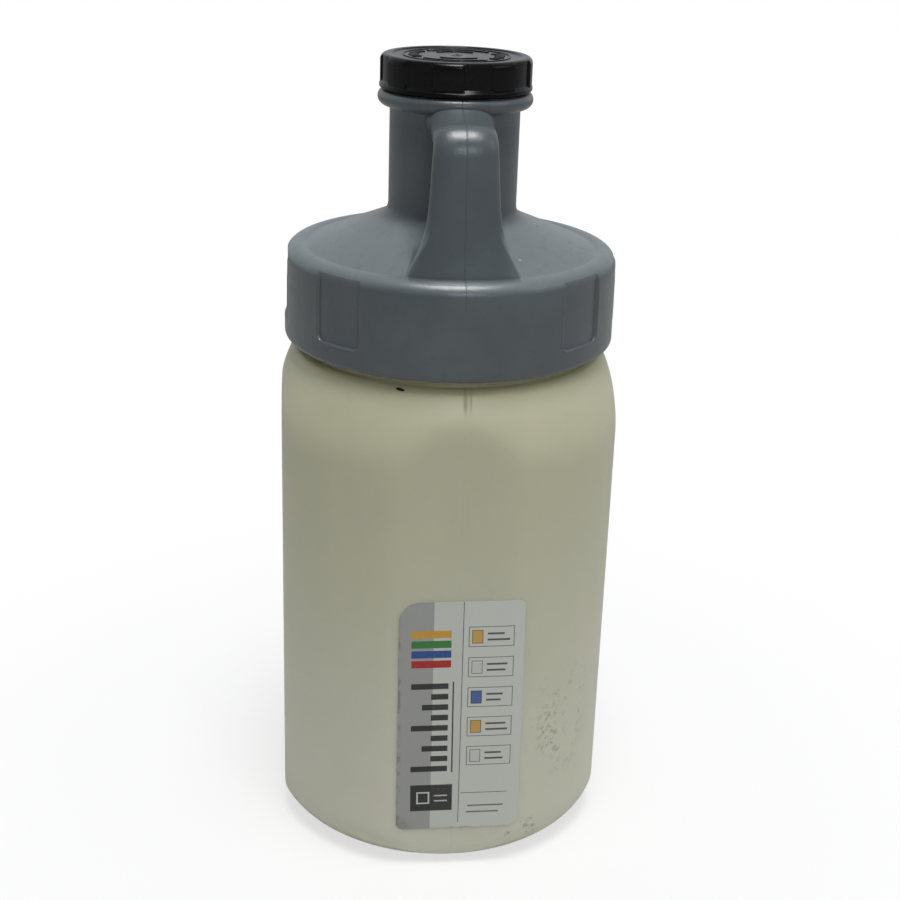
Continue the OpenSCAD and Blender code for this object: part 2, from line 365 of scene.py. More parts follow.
    @staticmethod
    def modified(piece: bpy.types.Object, kind: str, **settings: object) -> None:
        """Adds a modifier and applies it.

        Args:
            piece: Piece that is changed.
            kind: Type of the modifier.
            **settings: Values set on the modifier.
        """
        Modeller.activate(piece)
        change = piece.modifiers.new(kind.title(), kind)
        for key, value in settings.items():
            setattr(change, key, value)
        bpy.ops.object.modifier_apply(modifier=change.name)


class Sock:
    """A shader socket that takes part in sums as a number does."""

    def __init__(self, graph: "Graph", socket: bpy.types.NodeSocket) -> None:
        """Wraps an output socket of a graph."""
        self.graph = graph
        self.socket = socket

    def __add__(self, other: "Value") -> "Sock":
        """Sum."""
        return self.graph.math("ADD", self, other)

    __radd__ = __add__

    def __sub__(self, other: "Value") -> "Sock":
        """Difference."""
        return self.graph.math("SUBTRACT", self, other)

    def __rsub__(self, other: "Value") -> "Sock":
        """Difference from a number."""
        return self.graph.math("SUBTRACT", other, self)

    def __mul__(self, other: "Value") -> "Sock":
        """Product."""
        return self.graph.math("MULTIPLY", self, other)

    __rmul__ = __mul__

    def __truediv__(self, other: "Value") -> "Sock":
        """Quotient."""
        return self.graph.math("DIVIDE", self, other)

    def __abs__(self) -> "Sock":
        """Distance from zero."""
        return self.graph.math("ABSOLUTE", self)

    def __or__(self, other: "Value") -> "Sock":
        """Greater of two masks."""
        return self.graph.math("MAXIMUM", self, other)


Value = Union[Sock, float]
Paint = Union[Sock, Triple]


class Graph:
    """Shader nodes of one material."""

    def __init__(self, name: str) -> None:
        """Starts a material with a Principled shader and object coordinates."""
        self.material = bpy.data.materials.new(name)
        self.material.use_nodes = True
        self.tree = self.material.node_tree
        self.shader = self.tree.nodes["Principled BSDF"]
        self.place = Sock(self, self.node("ShaderNodeTexCoord").outputs["Object"])
        parts = self.node("ShaderNodeSeparateXYZ", Vector=self.place)
        self.x, self.y, self.z = (Sock(self, parts.outputs[axis]) for axis in "XYZ")

    def node(self, kind: str, settings: Optional[dict[str, object]] = None,
             **inputs: object) -> bpy.types.Node:
        """Adds a node.

        Args:
            kind: Type of the node.
            settings: The node's own settings, set first.
            **inputs: Values or links by the socket's name, with _ for a space.

        Returns:
            The new node.
        """
        node = self.tree.nodes.new(kind)
        for key, value in (settings or {}).items():
            setattr(node, key, value)
        for key, value in inputs.items():
            self.feed(node.inputs[key.replace("_", " ")], value)
        return node

    def feed(self, socket: bpy.types.NodeSocket, value: object) -> None:
        """Sets or links an input socket."""
        if isinstance(value, Sock):
            self.tree.links.new(value.socket, socket)
        elif isinstance(value, tuple) and len(value) == 3 and socket.type == "RGBA":
            socket.default_value = (*value, 1.0)
        else:
            socket.default_value = value

    def math(self, kind: str, first: Value, second: Value = 0.0) -> Sock:
        """Adds a Math node.

        Args:
            kind: Operation.
            first: First value.
            second: Second value.

        Returns:
            The result.
        """
        node = self.node("ShaderNodeMath", {"operation": kind})
        self.feed(node.inputs[0], first)
        self.feed(node.inputs[1], second)
        return Sock(self, node.outputs[0])

    def step(self, value: Value, low: float, high: float) -> Sock:
        """Smooth step of a value from 0 at low to 1 at high."""
        node = self.node(
            "ShaderNodeMapRange",
            {"interpolation_type": "SMOOTHSTEP"},
            Value=value, From_Min=low, From_Max=high, To_Min=0.0, To_Max=1.0,
        )
        return Sock(self, node.outputs["Result"])

    def band(self, value: Value, middle: float, half: float, soft: float) -> Sock:
        """Mask that is 1 within half a width of a middle."""
        distance = abs(value - middle) if isinstance(value, Sock) else value
        return 1.0 - self.step(distance, half - soft / 2, half + soft / 2)

    def noise(self, scale: float, detail: float = 2.0, rough: float = 0.5,
              stretch: Triple = (1.0, 1.0, 1.0)) -> Sock:
        """Noise on object coordinates.

        Args:
            scale: Waves per metre.
            detail: Octaves.
            rough: Strength of the finer octaves.
            stretch: Factor on each axis.

        Returns:
            The noise from 0 to 1.
        """
        mapping = self.node("ShaderNodeMapping", Vector=self.place)
        mapping.inputs["Scale"].default_value = stretch
        node = self.node(
            "ShaderNodeTexNoise",
            Vector=Sock(self, mapping.outputs[0]), Scale=scale, Detail=detail, Roughness=rough,
        )
        return Sock(self, node.outputs["Fac"])

    def mix(self, first: Paint, second: Paint, share: Value) -> Sock:
        """Mixes two colours.

        Args:
            first: Colour at 0.
            second: Colour at 1.
            share: Share of the second.

        Returns:
            The mixed colour.
        """
        node = self.node("ShaderNodeMix", {"data_type": "RGBA", "clamp_factor": True})
        self.feed(node.inputs["Factor"], share)
        self.feed(node.inputs[6], first)
        self.feed(node.inputs[7], second)
        return Sock(self, node.outputs[2])

    def bump(self, height: Value, strength: float) -> Sock:
        """Turns a height in metres into a bumped normal."""
        node = self.node("ShaderNodeBump", Height=height, Strength=strength, Distance=1.0)
        return Sock(self, node.outputs[0])

    def finish(self, colour: Paint, rough: Value, normal: Optional[Sock] = None,
               **constants: object) -> bpy.types.Material:
        """Feeds the shader and returns the material.

        Args:
            colour: Base colour.
            rough: Roughness.
            normal: Bumped normal.
            **constants: Values of other sockets, the same all over.

        Returns:
            The finished material.
        """
        self.feed(self.shader.inputs["Base Color"], colour)
        self.feed(self.shader.inputs["Roughness"], rough)
        if normal is not None:
            self.feed(self.shader.inputs["Normal"], normal)
        for key, value in constants.items():
            self.feed(self.shader.inputs[key.replace("_", " ")], value)
        return self.material


@dataclass(frozen=True)
class DrumPlastic:
    """Milky blow-moulded plastic of the drum, a little marked by use."""

    # The first two tones are lit and shaded copies of one plastic, painted light and shade.
    light: Triple = shade(242, 237, 204)
    painted_shade: Triple = shade(208, 204, 168)
    # Yellow tone, for random patches and for painted light under the lid
    neck: Triple = shade(232, 223, 172)
    # Grey for the scuffs, also used as painted shade in two dents
    scuff_and_dent_shade: Triple = shade(120, 118, 108)
    soot: Triple = shade(20, 19, 17)

    def build(self) -> bpy.types.Material:
        """Makes the material."""
        g = Graph("milky_drum_plastic")
        cloud = g.noise(14, 3, 0.5)
        streak = g.noise(60, 2, 0.5, (1, 1, 0.12))
        # Painted light and shade: lighter towards the bottom, darker towards the shoulder
        level = g.step(g.z + (cloud - 0.5) * 0.04, -0.01, 0.2)
        colour = g.mix(self.light, self.painted_shade, level)
        patchy = (cloud - 0.5) * 0.35 + (streak - 0.5) * 0.2
        colour = g.mix(colour, self.neck, g.step(patchy, 0.0, 0.14) * 0.25)
        # Painted light: the band under the lid is painted paler and yellower, standing in for light
        # shining through the plastic into the lid's shadow
        colour = g.mix(colour, self.neck, g.step(g.z, 0.2095, 0.2165))
        front = g.step(0.0 - g.y, 0.02, 0.05)
        # Two short dents where the mould seam runs into the shoulder, with painted shade in them
        dents = g.band(g.x, 0.0012, 0.0006, 0.0010) | g.band(g.x, 0.0033, 0.0004, 0.0008) * 0.7
        dents = dents * g.band(g.z, 0.2120, 0.0034, 0.0046) * front
        colour = g.mix(colour, self.scuff_and_dent_shade, dents * 0.55)
        # Scuffs low on the right of the front, and fine rubbed grime
        grime = g.step(g.noise(380, 4, 0.7), 0.48, 0.62)
        smear = g.step(g.noise(120, 3, 0.6, (1, 1, 0.6)), 0.44, 0.60)
        patch = g.band(g.x, 0.048, 0.010, 0.014) * g.band(g.z, 0.060, 0.020, 0.026)
        low = g.band(g.x, 0.031, 0.010, 0.012) * g.band(g.z, 0.014, 0.005, 0.008)
        colour = g.mix(colour, self.scuff_and_dent_shade, (patch * 0.5 | low * 0.7) * grime * smear * front)
        # One small black speck under the lid
        speck_x = (g.x + 0.0239) / 0.0019
        speck_z = (g.z - 0.2153 + (g.x + 0.0239) * 0.1) / 0.0005
        speck = 1.0 - g.step(speck_x * speck_x + speck_z * speck_z, 0.5, 1.1)
        colour = g.mix(colour, self.soot, speck * front)
        rough = 0.33 + (g.noise(220, 3, 0.6) - 0.5) * 0.16 + level * 0.03
        seam = g.band(g.x, 0.0018, 0.0004, 0.0012)
        grain = g.noise(900, 2, 0.5) * 0.00005 + g.noise(45, 2, 0.4) * 0.0006
        normal = g.bump(grain + seam * 0.00009 + dents * 0.0003, 0.7)
        return g.finish(
            colour, rough, normal, Subsurface_Weight=0.6, Subsurface_Radius=(0.9, 0.85, 0.6),
            Subsurface_Scale=0.016, Specular_IOR_Level=0.5,
        )


@dataclass(frozen=True)
class LidPlastic:
    """Slate grey moulded plastic of the lid, satin with a fine grain."""

    body: Triple = shade(77, 84, 88)
    # Paler tone, for random patches and for painted light on the roof
    pale: Triple = shade(109, 118, 121)
    deep: Triple = shade(66, 73, 78)
    dust: Triple = shade(150, 152, 148)

    @staticmethod
    def spot(g: Graph, place: Triple, size: float) -> Sock:
        """Mask of a small round spot.

        Args:
            g: Graph of the material.
            place: Middle of the spot in metres.
            size: Radius in metres.

        Returns:
            The mask.
        """
        dx, dy, dz = g.x - place[0], g.y - place[1], g.z - place[2]
        square = dx * dx + dy * dy + dz * dz
        return 1.0 - g.step(square, size * size * 0.4, size * size)

    def build(self) -> bpy.types.Material:
        """Makes the material."""
        g = Graph("slate_lid_plastic")
        cloud = g.noise(26, 3, 0.55)
        mottle = g.noise(240, 3, 0.6)
        # Painted light: the roof that faces up is painted paler, standing in for light from above,
        # though not at the handle's foot or round the spout
        span = g.math("SQRT", g.x * g.x + g.y * g.y)
        roof = g.step(g.z, 0.2535, 0.2585) * (1.0 - g.step(g.z, 0.272, 0.279))
        foot_half = 0.0136 + (1.0 - g.step(g.z, 0.2575, 0.277)) * 0.0082
        foot = g.step(foot_half - abs(g.x), -0.0004, 0.0006) * g.step(0.0 - g.y, 0.036, 0.042)
        ground = g.step(span, 0.027, 0.033) * (1.0 - foot * g.step(g.z, 0.2585, 0.2595))
        colour = g.mix(self.body, self.pale, roof * ground * 0.7 + g.step(cloud, 0.45, 0.7) * 0.18)
        colour = g.mix(colour, self.deep, g.step(mottle, 0.55, 0.75) * 0.25)
        # The mould seam shows as a thin darker line down the handle and the rim
        front = g.step(0.0 - g.y, 0.02, 0.03)
        seam = g.band(g.x, 0.0, 0.00018, 0.00024)
        front = front * g.step(g.z, 0.2465, 0.2505)
        colour = g.mix(colour, self.deep, seam * front * 0.5)
        # Dust, one dark nick and one pale speck on the cone
        nick = self.spot(g, (0.0344, -0.0101, 0.2688), 0.0012)
        colour = g.mix(colour, self.deep, nick * 0.9)
        colour = g.mix(colour, self.dust, self.spot(g, (0.0231, -0.0443, 0.2631), 0.0008))
        dust = g.step(g.noise(700, 3, 0.7), 0.70, 0.76) * g.step(g.noise(30, 2), 0.5, 0.62)
        colour = g.mix(colour, self.dust, dust * 0.35)
        rough = 0.32 + (mottle - 0.5) * 0.16 + (cloud - 0.5) * 0.06
        grain = g.noise(1500, 2, 0.55) * 0.00004 + g.noise(480, 2, 0.5) * 0.00008
        normal = g.bump(grain + seam * front * 0.00012, 0.6)
        return g.finish(colour, rough, normal, Specular_IOR_Level=0.6)


@dataclass(frozen=True)
class CapPlastic:
    """Glossy black plastic of the cap, dusty on top."""

    body: Triple = (0.0035, 0.0035, 0.0032)
    dust: Triple = shade(128, 120, 100)

    def build(self) -> bpy.types.Material:
        """Makes the material."""
        g = Graph("black_cap_plastic")
        cloud = g.noise(120, 3, 0.6)
        up = g.step(g.z, 0.3340, 0.3358)
        fine = g.step(g.noise(1100, 3, 0.7), 0.56, 0.70)
        dust = up * fine * g.step(cloud, 0.35, 0.7)
        span = g.x * g.x + (g.y + 0.002) * (g.y + 0.002)
        centre = (1.0 - g.step(span, 0.000002, 0.00005)) * up
        centre = centre * g.step(g.noise(600, 3, 0.6), 0.4, 0.6)
        colour = g.mix(self.body, self.dust, dust * 0.10 + centre * 0.5)
        rough = 0.17 + cloud * 0.10 + dust * 0.25
        normal = g.bump(g.noise(500, 2, 0.5) * 0.00005 + g.noise(90, 2) * 0.0001, 0.5)
        return g.finish(colour, rough, normal, Specular_IOR_Level=0.2)


@dataclass(frozen=True)
class RubberSeal:
    """Dull elastic of the seals."""

    name: str
    body: Triple
    worn: Triple

    def build(self) -> bpy.types.Material:
        """Makes the material."""
        g = Graph(self.name)
        cloud = g.noise(180, 3, 0.6)
        colour = g.mix(self.body, self.worn, g.step(cloud, 0.4, 0.7))
        normal = g.bump(g.noise(1400, 2, 0.5) * 0.00006, 0.6)
        return g.finish(colour, 0.55 + cloud * 0.2, normal)


@dataclass(frozen=True)
class PrintedFoil:
    """Silver grey foil with a plain printed form of stripes, boxes and rules.

    The print's places are millimetres from the label's lower left corner.
    """

    middle_x: float
    middle_z: float
    width: float
    height: float
    tilt: float
    foil: Triple = shade(206, 208, 200)
    pale: Triple = shade(202, 203, 196)
    stripe: Triple = shade(162, 162, 159)
    ink: Triple = shade(34, 34, 36)
    red: Triple = shade(176, 44, 42)
    green: Triple = shade(58, 128, 66)
    blue: Triple = shade(46, 84, 150)
    amber: Triple = shade(208, 156, 62)
    dirt: Triple = shade(112, 108, 96)

    def build(self) -> bpy.types.Material:
        """Makes the material."""
        g = Graph("printed_foil")
        turn = math.radians(self.tilt)
        across = g.x - self.middle_x * MM
        up = g.z - self.middle_z * MM
        u = (across * math.cos(turn) + up * math.sin(turn)) / MM + self.width / 2
        v = (up * math.cos(turn) - across * math.sin(turn)) / MM + self.height / 2
        soft = 0.14

        def bar(left: float, right: float, low: float, high: float) -> Sock:
            """Mask of an upright rectangle."""
            return (g.band(u, (left + right) / 2, (right - left) / 2, soft)
                    * g.band(v, (low + high) / 2, (high - low) / 2, soft))

        def frame(left: float, right: float, low: float, high: float, line: float) -> Sock:
            """Mask of a rectangle's outline."""
            inner = bar(left + line, right - line, low + line, high - line)
            return bar(left, right, low, high) * (1.0 - inner)

        shift = v * 0.008
        colour = g.mix(self.foil, self.stripe, g.band(u - shift, 5.4, 8.1, soft))
        colour = g.mix(colour, self.pale, g.band(u - shift, 19.4, 5.9, soft))
        # Coloured bands at the top of the broad column
        for place, paint in enumerate((self.amber, self.green, self.blue, self.red)):
            low = 92.5 - place * 4.6
            colour = g.mix(colour, paint, bar(5.0, 21.5, low, low + 3.4))
        # Scale of heavy bars, long and short in turn, beside a thin upright
        ink = bar(22.3, 22.9, 28.0, 72.0)
        for row in range(9):
            low = 68.6 - row * 5.0
            left = 5.0 if row % 4 == 0 else (13.4 if row % 2 else 9.6)
            ink = ink | bar(left, 20.6, low, low + 2.7)
        # Heavy block that closes the column, with a tick box
        ink = ink | bar(5.0, 22.9, 9.0, 22.0)
        colour = g.mix(colour, self.ink, ink * 0.95)
        colour = g.mix(colour, self.pale, frame(7.6, 13.2, 12.5, 18.5, 0.7))
        colour = g.mix(colour, self.pale, bar(15.2, 20.8, 16.2, 16.8) | bar(15.2, 20.8, 13.6, 14.2))
        # Thin rule between the columns, and the ruled table on its right
        rules = g.band(u - shift, 25.6, 0.16, soft) * g.step(v, 2.5, 2.8)
        for row in range(5):
            low = 88.0 - row * 14.2
            colour = g.mix(colour, (self.amber, self.pale, self.blue, self.amber, self.pale)[row],
                           bar(30.0, 34.6, low + 1.6, low + 7.8) * 0.9)
            rules = rules | frame(28.6, 47.6, low, low + 9.4, 0.34) * 0.85
            rules = rules | frame(30.0, 34.6, low + 1.6, low + 7.8, 0.3) * 0.85
            rules = rules | bar(36.4, 45.8 - (row % 3) * 1.6, low + 2.8, low + 3.7) * 0.95
            rules = rules | bar(36.4, 43.4 + (row % 2) * 1.6, low + 5.6, low + 6.5) * 0.95
        rules = rules | bar(26.6, 46.5, 17.3, 17.6) | bar(29.5, 45.0, 10.6, 11.3) * 0.85
        rules = rules | bar(29.0, 43.0, 7.4, 8.1) * 0.85
        colour = g.mix(colour, self.ink, rules * 0.9)
        # Wear: grimy corner, rubbed ink and fine scratches
        rub = g.step(g.noise(900, 3, 0.7), 0.60, 0.72)
        colour = g.mix(colour, self.foil, rub * 0.22)
        corner = (1.0 - g.step(u + v, 2.0, 9.0)) * g.step(g.noise(500, 3, 0.7), 0.35, 0.6)
        rim = (1.0 - g.step(u, 0.1, 1.0)) | (1.0 - g.step(v, 0.1, 0.9))
        rim = rim * g.step(g.noise(260, 3), 0.45, 0.6)
        colour = g.mix(colour, self.dirt, corner * 0.7 | rim * 0.6)
        rough = 0.34 + g.noise(300, 3, 0.6) * 0.14 + ink * 0.08
        normal = g.bump(g.noise(60, 3, 0.5) * 0.0005 + g.noise(700, 2) * 0.00004, 0.5)
        return g.finish(colour, rough, normal, Metallic=0.25)


@dataclass
class Thread:
    """One helical ridge on a wall. Angles are degrees, measured from -Y towards +X."""

    wall_r: float
    side: Side
    top_z: float
    lead: float
    turns: float
    start: float
    height: float
    root: float
    crest: float

    def build(self, name: str) -> bpy.types.Object:
        """Sweeps the ridge's section down its helix, with run-out ends.

        Args:
            name: Name of the new piece.

        Returns:
            The closed ridge.
        """
        steps = max(12, round(self.turns * 72))
        rings = []
        for i in range(steps + 1):
            share = i / steps
            angle = math.radians(self.start - 360 * self.turns * share)
            z = self.top_z - self.lead * self.turns * share
            grow = max(0.04, ease(share * self.turns * 9) * ease((1 - share) * self.turns * 9))
            foot = self.wall_r - self.side.value * 0.3
            tip = self.wall_r + self.side.value * self.height * grow
            half = self.root / 2
            top = self.crest / 2
            section = [(foot, -half), (self.wall_r, -half), (tip, -top), (tip, top),
                       (self.wall_r, half), (foot, half)]
            rings.append([
                Vector((r * math.sin(angle), -r * math.cos(angle), z + up)) * MM
                for r, up in section
            ])
        piece = Modeller.lofted(name, rings)
        Modeller.smoothed(piece, 40)
        return piece


@dataclass
class Drum:
    """The drum: flats pressed into a turned body, its neck and the outside thread."""

    base_r: float = 75.7
    top_r: float = 74.9
    shoulder_z: float = 188.0
    shoulder_r: float = 115.0
    shoulder_lean: float = 10.8
    shoulder_end: float = 24.42
    shoulder_edge_r: float = 4.0
    base_edge_r: float = 17.0
    flat_r: float = 70.9
    flat_blend: float = 0.6
    wall: float = 2.0
    floor: float = 2.4
    push_r: float = 49.0
    push_h: float = 3.5
    neck_r: float = 62.1
    mouth_r: float = 59.8
    neck_foot: float = 216.35
    rim_z: float = 253.65
    columns: int = 288

    def outer_line(self, inset: float) -> list[Pair]:
        """Line of the side from the base corner to the neck's foot.

        Args:
            inset: Distance inside the outer surface.

        Returns:
            The points from the bottom up.
        """
        edge = self.base_edge_r
        lift = self.floor if inset > 0 else 0.0
        corner = arc((self.base_r - edge, lift + edge - inset), edge - inset, -90, 0, 14)
        lean = math.radians(self.shoulder_lean)
        centre = (self.top_r - self.shoulder_r * math.cos(lean),
                  self.shoulder_z - self.shoulder_r * math.sin(lean))
        bend = arc(centre, self.shoulder_r - inset, self.shoulder_lean + 1.4, self.shoulder_end, 16)
        foot = (self.top_r - inset, self.shoulder_z - 3.2)
        side = run(corner[-1], foot, 56)
        # The side turns into the shoulder over a few millimetres
        soft = [foot,
                (self.top_r - inset - 0.10, self.shoulder_z - 1.4),
                (self.top_r - inset - 0.36, self.shoulder_z + 0.6)]
        turn = math.radians(self.shoulder_end)
        edge_c = (centre[0] + (self.shoulder_r - self.shoulder_edge_r) * math.cos(turn),
                  centre[1] + (self.shoulder_r - self.shoulder_edge_r) * math.sin(turn))
        top = arc(edge_c, self.shoulder_edge_r - inset, self.shoulder_end + 8, 90, 7)
        return corner + side + soft + bend + top

    def section(self) -> list[Pair]:
        """Closed section of the body, from the middle of the base outwards."""
        dome, step, lift = self.push_r - 4.5, self.push_r + 0.8, self.floor
        line = [(0.0, self.push_h)]
        onward(line, (dome, self.push_h), 6)
        line += [(self.push_r - 3.2, self.push_h - 0.6), (self.push_r - 0.6, 0.4), (step, 0.0)]
        line += run((step, 0.0), (self.base_r - self.base_edge_r, 0.0), 3)
        line += self.outer_line(0.0)
        line += [(self.neck_r + 0.5, self.neck_foot), (self.neck_r + 0.1, self.neck_foot + 0.4)]
        line += run((self.neck_r, self.neck_foot + 0.9), (self.neck_r, self.rim_z - 0.9), 9)
        line += [(self.neck_r, self.rim_z - 0.8), (self.neck_r - 0.25, self.rim_z - 0.2),
                 (self.neck_r - 0.8, self.rim_z), (self.mouth_r + 0.8, self.rim_z),
                 (self.mouth_r + 0.25, self.rim_z - 0.2), (self.mouth_r, self.rim_z - 0.8)]
        onward(line, (self.mouth_r, self.neck_foot), 8)
        inside = self.outer_line(self.wall)[::-1]
        line += [(self.mouth_r + 0.6, inside[0][1])] + inside
        line += run(inside[-1], (self.push_r + 1.6, lift), 3)
        line += [(step, lift), (self.push_r - 2.6, lift + self.push_h - 0.2),
                 (dome, lift + self.push_h)]
        onward(line, (0.0, lift + self.push_h), 6)
        return line

    def radius_at(self, z: float) -> float:
        """Radius of the round form at a height."""
        if z < self.base_edge_r:
            rise = self.base_edge_r - max(0.0, z)
            return self.base_r - self.base_edge_r + math.sqrt(self.base_edge_r ** 2 - rise ** 2)
        if z <= self.shoulder_z:
            share = (z - self.base_edge_r) / (self.shoulder_z - self.base_edge_r)
            return self.base_r + (self.top_r - self.base_r) * share
        lean = math.radians(self.shoulder_lean)
        rise = z - self.shoulder_z + self.shoulder_r * math.sin(lean)
        centre = self.top_r - self.shoulder_r * math.cos(lean)
        return centre + math.sqrt(max(0.0, self.shoulder_r ** 2 - rise ** 2))

    def pressed_to(self, r: float, angle: float, flat: float) -> float:
        """Radius that the flats leave of a round form.

        Args:
            r: Radius of the round form.
            angle: Angle from -Y in radians.
            flat: Distance of the flats from the axis.

        Returns:
            The radius after pressing.
        """
        quarter = math.pi / 2
        away = angle - quarter * round(angle / quarter)
        side = flat / math.cos(away)
        return soft_min(r, side, self.flat_blend) if side - r < 8 * self.flat_blend else r

    def press(self, place: Vector) -> Vector:
        """Moves a point of the turned body to where the flats leave it."""
        r, z = polar(place)
        if r < 56 or z > self.neck_foot - 0.5:
            return place
        outside = r > self.radius_at(z) - self.wall / 2
        flat = self.flat_r if outside else self.flat_r - self.wall
        scale = self.pressed_to(r, bearing(place), flat) / r
        return pulled(place, scale)

    def surface(self, angle: float, z: float) -> float:
        """Radius of the finished outside at an angle from -Y in radians and a height."""
        return self.pressed_to(self.radius_at(z), angle, self.flat_r)

    def build(self) -> bpy.types.Object:
        """Makes the drum and its thread."""
        body = Modeller.turned("drum_body", self.section(), self.columns)
        Modeller.moved(body, self.press)
        Modeller.smoothed(body, 50)
        ridge = Thread(self.neck_r, Side.OUTSIDE, self.rim_z - 7, NECK_LEAD, 1.25, 20,
                       *NECK_RIDGE)
        piece = Modeller.joined("drum_body", [body, ridge.build("neck_ridge")])
        piece.data.materials.append(DrumPlastic().build())
        return piece


@dataclass
class Label:
    """The foil label, following the front of the drum."""

    drum: Drum
    width: float = 52.0
    height: float = 108.8
    middle_x: float = 3.6
    middle_z: float = 73.0
    tilt: float = 0.8
    big_corner: float = 9.0
    corner: float = 3.0
    last_corner: float = 5.5
    thick: float = 0.22
    gap: float = 0.06

    def edge_cut(self, v: float, low_r: float, high_r: float) -> float:
        """How far rounded corners pull an upright edge in at a height.

        Args:
            v: Height above the label's lower edge.
            low_r: Radius of the lower corner.
            high_r: Radius of the upper corner.

        Returns:
            The inward shift.
        """
        top = self.height - v
        if v < low_r:
            return low_r - math.sqrt(max(0.0, low_r ** 2 - (low_r - v) ** 2))
        if top < high_r:
            return high_r - math.sqrt(max(0.0, high_r ** 2 - (high_r - top) ** 2))
        return 0.0

    def lay(self, place: Vector) -> Vector:
        """Puts a point of the flat grid on the drum."""
        share_v = place.y + 0.5
        v = self.height * share_v
        left = self.edge_cut(v, self.corner, self.big_corner) - 1.1 * (1 - v / self.height)
        right = self.width - self.edge_cut(v, self.last_corner, self.corner)
        u = left + (right - left) * (place.x + 0.5)
        turn = math.radians(self.tilt)
        du, dv = u - self.width / 2, v - self.height / 2
        x = self.middle_x + du * math.cos(turn) - dv * math.sin(turn)
        z = self.middle_z + du * math.sin(turn) + dv * math.cos(turn)
        angle = math.asin(max(-0.9, min(0.9, x / self.drum.flat_r)))
        for _ in range(12):
            r = self.drum.surface(angle, z) + self.gap
            angle = math.asin(x / r)
        return Vector((x, -r * math.cos(angle), z)) * MM

    def build(self) -> bpy.types.Object:
        """Makes the label."""
        Modeller.deselect()
        bpy.ops.mesh.primitive_grid_add(x_subdivisions=48, y_subdivisions=120, size=1.0)
        piece = bpy.context.object
        piece.name = piece.data.name = "foil_label"
        # Rows lie closer together at both ends, where the corners round off
        Modeller.moved(piece, lambda p: Vector((p.x, 0.5 * math.sin(math.pi * p.y) * 0.55
                                                + p.y * 0.45, 0.0)))
        Modeller.moved(piece, self.lay)
        Modeller.edit(piece)
        bpy.ops.mesh.normals_make_consistent(inside=False)
        Modeller.done()
        facing = sum(face.normal.y for face in piece.data.polygons)
        if facing > 0:
            piece.data.flip_normals()
        Modeller.modified(piece, "SOLIDIFY", thickness=self.thick * MM, offset=1.0)
        Modeller.smoothed(piece, 60)
        foil = PrintedFoil(self.middle_x, self.middle_z, self.width, self.height, self.tilt)
        piece.data.materials.append(foil.build())
        return piece


